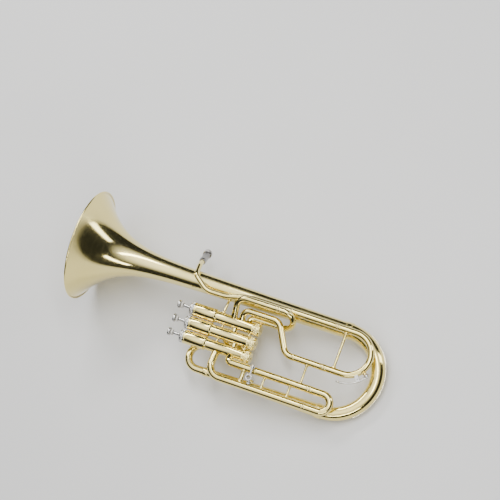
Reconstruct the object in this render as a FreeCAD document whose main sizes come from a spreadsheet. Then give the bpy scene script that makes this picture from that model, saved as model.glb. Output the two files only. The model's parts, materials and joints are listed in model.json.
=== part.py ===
"""Three-valve euphonium of the narrow, upright pattern, as separate soldered, screwed and sliding pieces.

Everything is laid out in the maker's frame: x runs from the bell mouth to the bottom bow along the
bell's axis, y lies in the plane of the horn with the valves at minus y, and z points to the player's
front. One placement then lays the whole horn down on its side, as it rests on a table.
Lengths are millimetres and angles are degrees.
"""
import FreeCAD, Part
import math
import os
import re

import Sketcher
from FreeCAD import Placement, Rotation, Vector

X = Vector(1, 0, 0)
Y = Vector(0, 1, 0)
Z = Vector(0, 0, 1)

SIZES = {
    # How the horn lies: its tilt, its roll towards the valves, and its shift to the resting origin.
    "rest_pitch": 7.9,
    "rest_roll": 4.7,
    "rest_shift_x": -312.18,
    "rest_shift_y": 33.27,
    "rest_lift": 109.37,
    # Bell: a gentle cone with a flare added towards the mouth.
    "bell_length": 551.0,
    "bell_wall": 0.8,
    "cone_radius": 21.4,
    "cone_slope": 0.0107,
    "flare_length": 45.0,
    "flare_start": 123.7,
    "flare_limit": 291.0,
    "bead_radius": 2.2,
    "wire_radius": 1.3,
    # Bottom bow, its guard and the branch that goes back to the valves.
    "bow_radius": 81.5,
    "bow_wide": 31.0,
    "bow_narrow": 26.5,
    "bow_wall": 0.8,
    "guard_width": 3.2,
    "guard_from": 27.0,
    "guard_to": 140.0,
    "ferrule_length": 13.0,
    "ferrule_over_bow": 4.0,
    "ferrule_gap": 0.25,
    "ferrule_wall": 1.0,
    "branch_end_x": 313.0,
    "branch_bore_end": 16.0,
    "branch_turn_x": 269.0,
    "branch_top_y": -113.3,
    "branch_top_z": -11.5,
    "branch_bend": 25.0,
    # Heights of the ports along the valves, and the bend radius of a tube that leaves one.
    "inlet_port_x": 348.0,
    "first_front_port_x": 332.0,
    "first_rear_port_x": 362.0,
    "knuckle_1_x": 340.0,
    "knuckle_2_x": 350.0,
    "second_upper_port_x": 312.0,
    "second_lower_port_x": 326.0,
    "third_upper_port_x": 352.0,
    "third_lower_port_x": 322.0,
    "branch_port_x": 336.0,
    "port_bend": 10.0,
    # Valve block.
    "valve_first_y": -55.7,
    "valve_pitch": 28.3,
    "valve_z": 10.0,
    "casing_top_x": 243.0,
    "casing_seam_x": 294.0,
    "casing_end_x": 384.0,
    "casing_neck": 23.6,
    "casing_foot": 22.2,
    "casing_wide": 27.4,
    "casing_narrow": 23.0,
    "casing_bore": 20.0,
    "piston_play": 0.05,
    "piston_top_x": 256.0,
    "piston_drum_x": 300.0,
    "piston_end_x": 371.0,
    "piston_wall": 1.2,
    "valve_stroke": 16.0,
    "cap_height": 9.0,
    "cap_plate": 2.5,
    "cap_width": 26.6,
    "cap_hole": 7.4,
    "bottom_cap_height": 14.0,
    "bottom_cap_width": 24.6,
    "stem_width": 6.0,
    "stem_from_x": 224.0,
    "button_width": 16.5,
    "button_height": 5.0,
    "felt_width": 12.0,
    "felt_height": 2.65,
    "spring_width": 15.0,
    "spring_wire": 0.9,
    "spring_turns": 6.0,
    "guide_x": 291.0,
    "guide_height": 3.0,
    "post_width": 4.6,
    "knuckle_width": 12.4,
    # Valve tubing.
    "tube_wall": 0.6,
    "slide_play": 0.05,
    "slide_width": 13.0,
    "slide_wall": 0.55,
    "port_width": 12.4,
    "third_width": 14.6,
    # Mouthpipe.
    "receiver_length": 47.0,
    "receiver_width": 14.6,
    "receiver_bore": 11.0,
    "receiver_depth": 26.0,
    "ring_width": 17.5,
    "ring_length": 9.0,
    "pipe_narrow": 9.4,
    "pipe_wide": 13.0,
    # Main tuning slide.
    "tuning_z": 24.5,
    "tuning_upper_y": -3.2,
    "tuning_lower_y": -85.5,
    "tuning_upper_from_x": 438.0,
    "tuning_lower_from_x": 470.0,
    "tuning_seam_x": 532.0,
    "tuning_bend_x": 570.0,
    "tuning_inside": 60.0,
    "tuning_travel": 50.0,
    "tuning_brace_x": 551.0,
    "inlet_y": -28.6,
    # First slide.
    "first_front_y": -9.5,
    "first_front_z": 39.5,
    "first_rear_y": -36.5,
    "first_rear_z": 8.0,
    "first_seam_x": 414.0,
    "first_bend_x": 426.0,
    "first_inside": 45.0,
    "first_travel": 30.0,
    # Second slide, on the back.
    "second_z": -11.5,
    "second_spread": 22.0,
    "second_seam_x": 362.0,
    "second_bend_x": 367.0,
    "second_inside": 22.0,
    "second_travel": 16.0,
    # Third slide.
    "third_upper_y": -133.0,
    "third_lower_y": -168.0,
    "third_z": 22.5,
    "third_seam_x": 520.0,
    "third_bend_x": 550.0,
    "third_inside": 90.0,
    "third_travel": 70.0,
}


def add_sheet(doc):
    """The driving dimensions, one plain number to a cell with its name as the alias."""
    sheet = doc.addObject("Spreadsheet::Sheet", "Sizes")
    for row, (name, number) in enumerate(SIZES.items(), start=1):
        sheet.set(f"A{row}", name)
        sheet.set(f"B{row}", repr(number))
        sheet.setAlias(f"B{row}", name)
    doc.recompute()
    return sheet


doc = FreeCAD.newDocument("Euphonium")
sheet = add_sheet(doc)
ALIAS = re.compile(r"\b(" + "|".join(SIZES) + r")\b")


def cell(formula):
    """A formula of cell names, written the way an expression needs it."""
    return ALIAS.sub(r"Sizes.\1", str(formula))


def size(formula):
    """The number that a formula of cell names comes to."""
    return float(sheet.evalExpression(cell(formula)))


REST = Placement(
    Vector(size("rest_shift_x"), size("rest_shift_y"), size("rest_lift")),
    Rotation(Y, size("rest_pitch")).multiply(Rotation(X, size("rest_roll"))),
)
pieces = {}


def keep(label, piece, local=Placement()):
    """Name a finished sub-part and lay it down with the rest of the horn."""
    piece.Label = label
    piece.Placement = REST.multiply(local)
    pieces[label] = piece
    return piece


def facing(direction):
    """The turn that takes a piece's own x axis onto a direction."""
    return Rotation(X, Vector(*direction))


def turned(label, outline, at=(0, 0, 0), along=(1, 0, 0), keep_piece=True):
    """A lathe-turned piece. The outline is (distance along, radius) formulas, revolved about its x axis."""
    body = doc.addObject("PartDesign::Body", label)
    plane = next(item for item in body.Origin.OriginFeatures if item.Role == "XY_Plane")
    sketch = body.newObject("Sketcher::SketchObject", label + "_outline")
    sketch.AttachmentSupport = [(plane, "")]
    sketch.MapMode = "FlatFace"
    corners = [Vector(size(along_x), size(radius), 0) for along_x, radius in outline]
    count = len(corners)
    for index in range(count):
        sketch.addGeometry(Part.LineSegment(corners[index], corners[(index + 1) % count]), False)
    for index in range(count):
        sketch.addConstraint(Sketcher.Constraint("Coincident", index, 2, (index + 1) % count, 1))
    for index, (along_x, radius) in enumerate(outline):
        for kind, formula, axis in (("DistanceX", along_x, -2), ("DistanceY", radius, -1)):
            if abs(size(formula)) < 1e-9:
                sketch.addConstraint(Sketcher.Constraint("PointOnObject", index, 1, axis))
                continue
            where = sketch.addConstraint(Sketcher.Constraint(kind, -1, 1, index, 1, size(formula)))
            if ALIAS.search(str(formula)):
                sketch.setExpression(f"Constraints[{where}]", cell(formula))
    turn = body.newObject("PartDesign::Revolution", label + "_turned")
    turn.Profile = sketch
    turn.ReferenceAxis = (sketch, ["H_Axis"])
    turn.Angle = 360
    sketch.Visibility = False
    local = Placement(Vector(*at), facing(along))
    if keep_piece:
        return keep(label, body, local)
    body.Placement = local
    return body


def ring_outline(length, outer, bore, chamfer=0.0):
    """The outline of a plain tube or collar, its outer corners broken by a chamfer."""
    radius = f"({outer}) / 2"
    outline = [(0, f"({bore}) / 2"), (length, f"({bore}) / 2")]
    if chamfer:
        return outline + [
            (length, f"{radius} - {chamfer}"),
            (f"{length} - {chamfer}", radius),
            (chamfer, radius),
            (0, f"{radius} - {chamfer}"),
        ]
    return outline + [(length, radius), (0, radius)]


def route(points, radii):
    """A path of straight runs joined by tangent arcs, one radius for each inner point."""
    points = [Vector(*point) for point in points]
    edges = []
    start = points[0]
    for index, radius in enumerate(radii, start=1):
        corner = points[index]
        come = (corner - points[index - 1]).normalize()
        leave = (points[index + 1] - corner).normalize()
        turn = come.getAngle(leave)
        setback = radius * math.tan(turn / 2)
        arc_start = corner - come * setback
        arc_end = corner + leave * setback
        inward = (leave - come).normalize()
        centre = corner + inward * (radius / math.cos(turn / 2))
        middle = centre - inward * radius
        if (arc_start - start).Length > 1e-4:
            edges.append(Part.LineSegment(start, arc_start).toShape())
        edges.append(Part.Arc(arc_start, middle, arc_end).toShape())
        start = arc_end
    if (points[-1] - start).Length > 1e-4:
        edges.append(Part.LineSegment(start, points[-1]).toShape())
    return Part.Wire(edges)


def swept(name, path, widths):
    """A solid rod along a path. widths gives its diameter at the start and, if it tapers, at the end."""
    spine = doc.addObject("Part::Feature", name + "_path")
    spine.Shape = path
    first = path.OrderedEdges[0]
    last = path.OrderedEdges[-1]
    ends = [
        (first.valueAt(first.FirstParameter), first.tangentAt(first.FirstParameter)),
        (last.valueAt(last.LastParameter), last.tangentAt(last.LastParameter)),
    ]
    rings = []
    for index, width in enumerate(widths):
        point, tangent = ends[index]
        ring = doc.addObject("Part::Circle", f"{name}_ring_{index + 1}")
        ring.Radius = size(f"({width}) / 2")
        ring.setExpression("Radius", cell(f"({width}) / 2"))
        ring.Placement = Placement(point, Rotation(Z, tangent))
        rings.append(ring)
    sweep = doc.addObject("Part::Sweep", name + "_sweep")
    sweep.Sections = rings
    sweep.Spine = (spine, [f"Edge{number + 1}" for number in range(len(path.Edges))])
    sweep.Solid = True
    sweep.Frenet = False
    return sweep


def minus(name, base, tools):
    """A base with other shapes taken away, one Part::Cut after another."""
    for index, tool in enumerate(tools):
        cut = doc.addObject("Part::Cut", f"{name}_cut_{index + 1}")
        cut.Base = base
        cut.Tool = tool
        base = cut
    return base


def bent_tube(label, path, widths, wall, trims=()):
    """A drawn tube along a path, hollow from end to end, its ends trimmed to the shapes they meet."""
    outside = swept(label + "_outside", path, widths)
    inside = swept(label + "_inside", path, [f"{width} - 2 * {wall}" for width in widths])
    return keep(label, minus(label, outside, [inside, *trims]))


def joined(name, members):
    """Shapes soldered into one, one Part::Fuse after another."""
    whole = members[0]
    for index, member in enumerate(members[1:], start=1):
        fuse = doc.addObject("Part::Fuse", f"{name}_joined_{index}")
        fuse.Base = whole
        fuse.Tool = member
        whole = fuse
    return whole


def rod(name, start, end, width):
    """A plain cylinder between two points, its diameter a formula."""
    start = Vector(*start)
    end = Vector(*end)
    cylinder = doc.addObject("Part::Cylinder", name)
    cylinder.Radius = size(f"({width}) / 2")
    cylinder.setExpression("Radius", cell(f"({width}) / 2"))
    cylinder.Height = (end - start).Length
    cylinder.Placement = Placement(start, Rotation(Z, end - start))
    return cylinder


def group(label, members):
    """Several separate solids kept as one sub-part."""
    compound = doc.addObject("Part::Compound", label)
    compound.Links = members
    return keep(label, compound)


# ---------------------------------------------------------------- bell and bottom bow

def bell_radius(along):
    """Outer radius of the bell: a straight cone, plus a flare that dies away from the mouth."""
    cone = size("cone_radius") - size("cone_slope") * along
    flare = 1 / (math.exp(along / size("flare_length")) / size("flare_start") + 1 / size("flare_limit"))
    return cone + flare


def bell_curve(inset):
    """The bell's profile as one smooth curve, set in from the outer skin by a wall's thickness."""
    length = size("bell_length")
    points = []
    for step in range(25):
        along = length * (step / 24) ** 2
        slope = (bell_radius(along + 0.5) - bell_radius(along - 0.5)) if along > 1 else (
            bell_radius(along + 0.5) - bell_radius(along)) * 2
        points.append(Vector(along, bell_radius(along) - inset * math.hypot(1, slope), 0))
    curve = Part.BSplineCurve()
    curve.interpolate(points)
    return curve.toShape()


def revolve(edges):
    """A closed profile turned a full circle about the bell's axis."""
    return Part.Face(Part.Wire(edges)).revolve(Vector(0, 0, 0), X, 360)


def line(start, end):
    return Part.LineSegment(Vector(*start), Vector(*end)).toShape()


outer_curve = bell_curve(0)
inner_curve = bell_curve(size("bell_wall"))
mouth = outer_curve.Vertexes[0].Point
throat = outer_curve.Vertexes[-1].Point
inner_mouth = inner_curve.Vertexes[0].Point
inner_throat = inner_curve.Vertexes[-1].Point
bead_centre = mouth.y

shell = revolve([outer_curve, line(throat, inner_throat), inner_curve, line(inner_mouth, mouth)])
bead = Part.makeTorus(bead_centre, size("bead_radius"), Vector(0, 0, 0), X)
wire_room = Part.makeTorus(bead_centre, size("wire_radius"), Vector(0, 0, 0), X)
bell = doc.addObject("Part::Feature", "bell")
bell.Shape = shell.fuse(bead).cut(wire_room)
keep("bell", bell)

bell_solid = doc.addObject("Part::Feature", "bell_solid")
bell_solid.Shape = revolve([
    outer_curve, line(throat, (throat.x, 0, 0)), line((throat.x, 0, 0), (0, 0, 0)), line((0, 0, 0), mouth)
])

rim_wire = doc.addObject("Part::Torus", "rim_wire")
rim_wire.Radius1 = bead_centre
rim_wire.setExpression("Radius2", cell("wire_radius - 0.05"))
keep("rim_wire", rim_wire, Placement(Vector(0, 0, 0), Rotation(Z, X)))

bow_x = size("bell_length")
bow_r = size("bow_radius")
bow_path = Part.Wire([Part.Arc(
    Vector(bow_x, 0, 0), Vector(bow_x + bow_r, -bow_r, 0), Vector(bow_x, -2 * bow_r, 0)).toShape()])
bow_outside = swept("bottom_bow_outside", bow_path, ["bow_wide", "bow_narrow"])
bow_inside = swept("bottom_bow_inside", bow_path, ["bow_wide - 2 * bow_wall", "bow_narrow - 2 * bow_wall"])
keep("bottom_bow", minus("bottom_bow", bow_outside, [bow_inside]))


def bow_crest(degrees):
    """A point on the bow's outer crest, by the angle gone round from the bell's end."""
    share = degrees / 180
    reach = bow_r + size("bow_wide / 2") * (1 - share) + size("bow_narrow / 2") * share
    angle = math.radians(90 - degrees)
    return Vector(bow_x + reach * math.cos(angle), -bow_r + reach * math.sin(angle), 0)


guard_ends = (size("guard_from"), size("guard_to"))
guard_path = Part.Wire([Part.Arc(
    bow_crest(guard_ends[0]), bow_crest(sum(guard_ends) / 2), bow_crest(guard_ends[1])).toShape()])
keep("bow_guard", minus("bow_guard", swept("bow_guard_rod", guard_path, ["guard_width"]), [bow_outside]))

branch_cone = doc.addObject("Part::Cone", "lower_branch_outside")
branch_bore = doc.addObject("Part::Cone", "lower_branch_inside")
for cone, wall in ((branch_cone, "0"), (branch_bore, "bow_wall")):
    cone.setExpression("Radius1", cell(f"branch_bore_end / 2 - {wall}"))
    cone.setExpression("Radius2", cell(f"bow_narrow / 2 - {wall}"))
    cone.setExpression("Height", cell("bell_length - branch_end_x"))
    cone.Placement = Placement(Vector(size("branch_end_x"), -2 * bow_r, 0), Rotation(Z, X))
keep("lower_branch", minus("lower_branch", branch_cone, [branch_bore]))


def ferrule_outline(width):
    """A thin collar over a joint between two tubes of one width, with bevelled ends."""
    bore = f"({width}) / 2 + ferrule_gap"
    return [
        (0, bore),
        ("ferrule_length", bore),
        ("ferrule_length", f"{bore} + 0.4"),
        ("ferrule_length - 1.5", f"{bore} + ferrule_wall"),
        ("1.5", f"{bore} + ferrule_wall"),
        (0, f"{bore} + 0.4"),
    ]


ferrule_x = bow_x - size("ferrule_length") + size("ferrule_over_bow")
group("bow_ferrules", [
    turned("bell_side_ferrule", ferrule_outline("bow_wide"), (ferrule_x, 0, 0), keep_piece=False),
    turned("branch_side_ferrule", ferrule_outline("bow_narrow"), (ferrule_x, -2 * bow_r, 0),
           keep_piece=False),
])


# ---------------------------------------------------------------- valve block

valve_z = size("valve_z")
valve_ys = [size(f"valve_first_y - {index} * valve_pitch") for index in range(3)]
top_x = size("casing_top_x")
TUBE_BORE = "port_width - 2 * tube_wall"

# Where each casing is drilled: the height of the port and the point that it faces.
ports = {
    1: [
        (size("inlet_port_x"), size("inlet_y"), size("tuning_z")),
        (size("first_front_port_x"), size("first_front_y"), size("first_front_z")),
        (size("first_rear_port_x"), size("first_rear_y"), size("first_rear_z")),
        (size("knuckle_1_x"), valve_ys[1], valve_z),
    ],
    2: [
        (size("knuckle_1_x"), valve_ys[0], valve_z),
        (size("knuckle_2_x"), valve_ys[2], valve_z),
        (size("second_upper_port_x"), valve_ys[1] + size("second_spread") / 2, size("second_z")),
        (size("second_lower_port_x"), valve_ys[1] - size("second_spread") / 2, size("second_z")),
    ],
    3: [
        (size("knuckle_2_x"), valve_ys[1], valve_z),
        (size("third_upper_port_x"), size("third_upper_y"), size("third_z")),
        (size("third_lower_port_x"), size("third_lower_y"), size("third_z")),
        (size("branch_port_x"), size("branch_top_y"), size("branch_top_z")),
    ],
}

casing_outline = [
    ("cap_plate", "casing_bore / 2"),
    ("casing_end_x - casing_top_x", "casing_bore / 2"),
    ("casing_end_x - casing_top_x", "casing_foot / 2"),
    ("casing_end_x - casing_top_x - 8", "casing_foot / 2"),
    ("casing_end_x - casing_top_x - 8", "casing_narrow / 2"),
    ("casing_seam_x - casing_top_x + 2", "casing_narrow / 2"),
    ("casing_seam_x - casing_top_x", "casing_wide / 2"),
    ("cap_height", "casing_wide / 2"),
    ("cap_height", "casing_neck / 2"),
    ("cap_plate", "casing_neck / 2"),
]
cap_outline = [
    (0, "cap_hole / 2"),
    ("cap_plate", "cap_hole / 2"),
    ("cap_plate", "casing_neck / 2 + 0.05"),
    ("cap_height", "casing_neck / 2 + 0.05"),
    ("cap_height", "cap_width / 2"),
    ("1.5", "cap_width / 2"),
    (0, "cap_width / 2 - 2"),
]
bottom_cap_outline = [
    (0, "casing_foot / 2 + 0.05"),
    ("8", "casing_foot / 2 + 0.05"),
    ("8", "casing_bore / 2"),
    ("bottom_cap_height - 2", "casing_bore / 2"),
    ("bottom_cap_height - 2", "2"),
    ("bottom_cap_height", "2"),
    ("bottom_cap_height", "bottom_cap_width / 2 - 2"),
    ("bottom_cap_height - 1.5", "bottom_cap_width / 2"),
    (0, "bottom_cap_width / 2"),
]
PISTON = "casing_bore - 2 * piston_play"
piston_outline = [
    (0, "1.6"),
    ("2", "1.6"),
    ("2", f"({PISTON}) / 2 - piston_wall"),
    ("piston_drum_x - piston_top_x", f"({PISTON}) / 2 - piston_wall"),
    ("piston_drum_x - piston_top_x", "0"),
    ("piston_drum_x - piston_top_x + 2", "0"),
    ("piston_drum_x - piston_top_x + 2", f"({PISTON}) / 2 - piston_wall"),
    ("piston_end_x - piston_top_x", f"({PISTON}) / 2 - piston_wall"),
    ("piston_end_x - piston_top_x", f"({PISTON}) / 2"),
    (0, f"({PISTON}) / 2"),
]
stem_outline = [
    (0, "0"),
    ("piston_top_x - stem_from_x + 3", "0"),
    ("piston_top_x - stem_from_x + 3", "1.55"),
    ("piston_top_x - stem_from_x", "1.55"),
    ("piston_top_x - stem_from_x", "stem_width / 2 + 1.5"),
    ("piston_top_x - stem_from_x - 2", "stem_width / 2 + 1.5"),
    ("piston_top_x - stem_from_x - 2", "stem_width / 2"),
    ("3.05", "stem_width / 2"),
    ("3.05", "1.8"),
    (0, "1.8"),
]
button_outline = [
    ("0.6", "0"),
    ("4.2", "0"),
    ("4.2", "1.85"),
    ("7.2", "1.85"),
    ("7.2", "stem_width / 2 + 1"),
    ("button_height", "button_width / 2 - 1"),
    ("button_height - 1", "button_width / 2"),
    ("1.2", "button_width / 2"),
    (0, "button_width / 2 - 1.4"),
    (0, "button_width / 2 - 2.4"),
    ("0.6", "button_width / 2 - 3.4"),
]
felt_outline = ring_outline("felt_height", "felt_width", "stem_width + 0.2")


def port_rod(name, number, port, width, reach=16):
    """A rod that leaves a valve's axis towards the point that one of its ports faces."""
    height, face_y, face_z = port
    axis = Vector(height, valve_ys[number - 1], valve_z)
    away = (Vector(height, face_y, face_z) - axis).normalize()
    return rod(name, axis, axis + away * reach, width)


def spring_coil(name, start, length, width, wire, turns, along=X):
    """A coil spring of round wire, every half turn an arc in a plane tilted by the coil's pitch."""
    rise = length / turns / 2
    reach = (width - wire) / 2
    crown = math.hypot(reach, rise / 2)
    arcs = []
    for half in range(round(turns * 2)):
        side = -1 if half % 2 else 1
        arcs.append(Part.Arc(
            Vector(side * reach, 0, half * rise),
            Vector(0, side * crown, (half + 0.5) * rise),
            Vector(-side * reach, 0, (half + 1) * rise)).toShape())
    return keep(name, swept(name, Part.Wire(arcs), [wire]), Placement(Vector(*start), Rotation(Z, along)))


casing_cores = []
guides = []
top_caps = []
bottom_caps = []
for number, valve_y in enumerate(valve_ys, start=1):
    seat = (top_x, valve_y, valve_z)
    core = rod(f"casing_core_{number}", (size("casing_seam_x"), valve_y, valve_z),
               (size("casing_end_x"), valve_y, valve_z), "casing_narrow")
    casing_cores.append(core)
    blank = turned(f"casing_blank_{number}", casing_outline, seat, keep_piece=False)
    drills = [port_rod(f"port_{number}_{place}", number, port, TUBE_BORE)
              for place, port in enumerate(ports[number])]
    keep(f"valve_casing_{number}", minus(f"casing_{number}", blank, drills))

    drum = turned(f"piston_blank_{number}", piston_outline,
                  (size("piston_top_x"), valve_y, valve_z), keep_piece=False)
    lining = []
    bores = []
    for place, height in enumerate((318, 336, 354)):
        turn = math.radians(35 + 55 * place)
        side = Vector(0, math.cos(turn), math.sin(turn)) * 16
        centre = Vector(height, valve_y, valve_z)
        lining.append(rod(f"passage_{number}_{place}", centre - side, centre + side, "port_width - 0.6"))
        bores.append(rod(f"bore_{number}_{place}", centre - side, centre + side, TUBE_BORE))
    fill = rod(f"drum_{number}", (size("piston_drum_x"), valve_y, valve_z),
               (size("piston_end_x"), valve_y, valve_z), PISTON)
    tubes = doc.addObject("Part::Compound", f"passages_{number}")
    tubes.Links = lining
    passages = doc.addObject("Part::Common", f"passages_in_drum_{number}")
    passages.Base = tubes
    passages.Tool = fill
    whole = doc.addObject("Part::Fuse", f"piston_whole_{number}")
    whole.Base = drum
    whole.Tool = passages
    slot = doc.addObject("Part::Box", f"guide_slot_{number}")
    slot.Length = 24
    slot.Width = 30
    slot.Height = 4.6
    slot.Placement = Placement(Vector(272.5, valve_y - 15, valve_z - 2.3), Rotation())
    keep(f"piston_{number}", minus(f"piston_{number}", whole, [*bores, slot]))

    spring_coil(f"valve_spring_{number}", (size("piston_top_x") + 2.7, valve_y, valve_z),
                size("guide_x") - size("piston_top_x") - 3.4, size("spring_width"), size("spring_wire"),
                size("spring_turns"))

    bar = doc.addObject("Part::Box", f"guide_bar_{number}")
    bar.setExpression("Length", cell("guide_height"))
    bar.Width = size(PISTON) + 1
    bar.Height = 4
    bar.Placement = Placement(Vector(size("guide_x"), valve_y - bar.Width.Value / 2, valve_z - 2), Rotation())
    disc = rod(f"guide_disc_{number}", (size("guide_x"), valve_y, valve_z),
               (size("guide_x + guide_height"), valve_y, valve_z), "spring_width + 1")
    spider = doc.addObject("Part::Fuse", f"guide_spider_{number}")
    spider.Base = bar
    spider.Tool = disc
    reach = rod(f"guide_reach_{number}", (size("guide_x") - 1, valve_y, valve_z),
                (size("guide_x + guide_height + 1"), valve_y, valve_z), "casing_bore")
    guide = doc.addObject("Part::Common", f"guide_{number}")
    guide.Base = spider
    guide.Tool = reach
    guides.append(guide)

    top_caps.append(turned(f"top_cap_blank_{number}", cap_outline, seat, keep_piece=False))
    bottom_caps.append(turned(f"bottom_cap_blank_{number}", bottom_cap_outline,
                              (size("casing_end_x") - 8, valve_y, valve_z), keep_piece=False))
    turned(f"valve_stem_{number}", stem_outline, (size("stem_from_x") - 3, valve_y, valve_z))
    turned(f"finger_button_{number}", button_outline, (size("stem_from_x") - 7.2, valve_y, valve_z))
    turned(f"button_felt_{number}", felt_outline, (size("stem_from_x") + 0.05, valve_y, valve_z))
group("valve_guides", guides)
group("valve_top_caps", top_caps)
group("valve_bottom_caps", bottom_caps)


# ---------------------------------------------------------------- tubes joined to the valves

def axis_at(number, height):
    return (height, valve_ys[number - 1], valve_z)


def slide_tube(label, start, end, width, wall="tube_wall"):
    """A straight outer leg of a slide."""
    outside = rod(label + "_outside", start, end, width)
    inside = rod(label + "_inside", start, end, f"{width} - 2 * {wall}")
    return minus(label, outside, [inside])


knuckles = []
for number in (1, 2):
    height = size(f"knuckle_{number}_x")
    near = axis_at(number, height)
    far = axis_at(number + 1, height)
    outside = rod(f"knuckle_{number}_outside", near, far, "knuckle_width")
    inside = rod(f"knuckle_{number}_inside", near, far, TUBE_BORE)
    knuckles.append(minus(f"knuckle_{number}", outside,
                          [inside, casing_cores[number - 1], casing_cores[number]]))
group("valve_knuckles", knuckles)


def post(name, start, end, width, trims, flare=1.8):
    """A turned brace post with a flared foot at each end, the feet cut to fit what they stand on."""
    length = (Vector(*end) - Vector(*start)).Length
    foot = f"({width}) / 2 * {flare}"
    outline = [
        (0, "0"), (length, "0"), (length, foot), (length - 2.0, foot), (length - 5.0, f"({width}) / 2"),
        (5.0, f"({width}) / 2"), (2.0, foot), (0, foot),
    ]
    blank = turned(name + "_blank", outline, start, tuple(Vector(*end) - Vector(*start)), keep_piece=False)
    return minus(name, blank, trims)


posts = []
for number in (1, 2):
    for height in (315, 371):
        foot = size("casing_narrow / 2") - 3.2
        low = (height, valve_ys[number - 1] - foot, valve_z)
        high = (height, valve_ys[number] + foot, valve_z)
        posts.append(post(f"valve_post_{number}_{height}", low, high, "post_width",
                          [casing_cores[number - 1], casing_cores[number]], 1.5))
group("valve_posts", posts)

branch_y = -2 * bow_r
branch_top = (size("branch_top_y"), size("branch_top_z"))
bent_tube(
    "branch_bend",
    route([axis_at(3, size("branch_port_x")), (size("branch_port_x"), *branch_top),
           (size("branch_turn_x"), *branch_top), (size("branch_turn_x"), branch_y, 0),
           (size("branch_end_x"), branch_y, 0)],
          [size("port_bend"), size("branch_bend"), size("branch_bend")]),
    ["port_width", "branch_bore_end"], "tube_wall", [casing_cores[2]])

# Main tuning slide: its outer legs, and the S-shaped tube from the lower one into the first valve.
tuning_z = size("tuning_z")
upper_y = size("tuning_upper_y")
lower_y = size("tuning_lower_y")
seam_x = size("tuning_seam_x")
lower_from = size("tuning_lower_from_x")
keep("tuning_outer_upper", slide_tube("tuning_outer_upper", (size("tuning_upper_from_x"), upper_y, tuning_z),
                                      (seam_x, upper_y, tuning_z), "slide_width"))
keep("tuning_outer_lower", slide_tube("tuning_outer_lower", (lower_from, lower_y, tuning_z),
                                      (seam_x, lower_y, tuning_z), "slide_width"))
inlet_y = size("inlet_y")
bent_tube("valve_inlet",
          route([(lower_from, lower_y, tuning_z), (454, lower_y, tuning_z), (421, inlet_y, tuning_z),
                 (size("inlet_port_x"), inlet_y, tuning_z), axis_at(1, size("inlet_port_x"))], [22, 22, 14]),
          ["slide_width", "port_width"], "tube_wall", [casing_cores[0]])

# Mouthpipe: from the receiver, over the bell's tube and into the tuning slide's upper leg.
receiver_mouth = Vector(220, 64, -42)
receiver_away = Vector(-9, 35, -52).normalize()
receiver_foot = receiver_mouth - receiver_away * size("receiver_length")
receiver_outline = [
    (0, "pipe_narrow / 2 + 0.12"),
    (10, "pipe_narrow / 2 + 0.12"),
    (10, "pipe_narrow / 2 - tube_wall"),
    ("receiver_length - receiver_depth", "receiver_bore / 2"),
    ("receiver_length", "receiver_bore / 2"),
    ("receiver_length", "receiver_width / 2"),
    (8, "receiver_width / 2 - 0.6"),
    (0, "pipe_narrow / 2 + 1.2"),
]
turned("receiver", receiver_outline, tuple(receiver_foot), tuple(receiver_away))
ring_from = receiver_mouth - receiver_away * (size("ring_length") - 2)
ring_outline_points = [
    (0, "receiver_width / 2 + 0.05"),
    ("ring_length - 2", "receiver_width / 2 + 0.05"),
    ("ring_length - 2", "receiver_bore / 2 + 0.6"),
    ("ring_length", "receiver_bore / 2 + 1.4"),
    ("ring_length", "ring_width / 2 - 1"),
    ("ring_length - 1", "ring_width / 2"),
    ("1", "ring_width / 2"),
    (0, "ring_width / 2 - 1"),
]
turned("receiver_ring", ring_outline_points, tuple(ring_from), tuple(receiver_away))
pipe_start = receiver_foot + receiver_away * 9.5
pipe_bend = receiver_foot - receiver_away * 18
bent_tube("leadpipe",
          route([tuple(pipe_start), tuple(pipe_bend), (235, 5.5, 30.5), (264, -16.5, 26), (304, -15.5, 24.5),
                 (350, upper_y, tuning_z), (size("tuning_upper_from_x"), upper_y, tuning_z)],
                [14, 13, 30, 90, 120]),
          ["pipe_narrow", "slide_width"], "tube_wall")

# Outer legs of the three valve slides.
first_front = (size("first_front_y"), size("first_front_z"))
first_rear = (size("first_rear_y"), size("first_rear_z"))
first_seam = size("first_seam_x")
front_x = size("first_front_port_x")
rear_x = size("first_rear_port_x")
bent_tube("first_outer_front",
          route([axis_at(1, front_x), (front_x, *first_front), (first_seam, *first_front)], [20]),
          ["port_width"], "tube_wall", [casing_cores[0]])
bent_tube("first_outer_rear",
          route([axis_at(1, rear_x), (rear_x, *first_rear), (first_seam, *first_rear)], [7.4]),
          ["port_width"], "tube_wall", [casing_cores[0]])

second_z = size("second_z")
second_seam = size("second_seam_x")
second_ys = [valve_ys[1] + size("second_spread") / 2, valve_ys[1] - size("second_spread") / 2]
second_outer = []
second_ports = (size("second_upper_port_x"), size("second_lower_port_x"))
for place, (height, leg_y) in enumerate(zip(second_ports, second_ys)):
    path = route([axis_at(2, height), (height, leg_y, second_z), (second_seam, leg_y, second_z)], [11])
    outside = swept(f"second_outside_{place}", path, ["port_width"])
    inside = swept(f"second_inside_{place}", path, [TUBE_BORE])
    second_outer.append(minus(f"second_outer_{place}", outside, [inside, casing_cores[1]]))
group("second_outer_legs", second_outer)

third_z = size("third_z")
third_upper = (size("third_upper_y"), third_z)
third_lower = (size("third_lower_y"), third_z)
third_seam = size("third_seam_x")
upper_x = size("third_upper_port_x")
lower_x = size("third_lower_port_x")
bent_tube("third_outer_upper",
          route([axis_at(3, upper_x), (upper_x, *third_upper), (third_seam, *third_upper)],
                [size("port_bend")]),
          ["third_width"], "tube_wall", [casing_cores[2]])
bent_tube("third_outer_lower",
          route([axis_at(3, lower_x), (lower_x, *third_lower), (third_seam, *third_lower)], [26]),
          ["third_width"], "tube_wall", [casing_cores[2]])


# ---------------------------------------------------------------- moving slides

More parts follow.
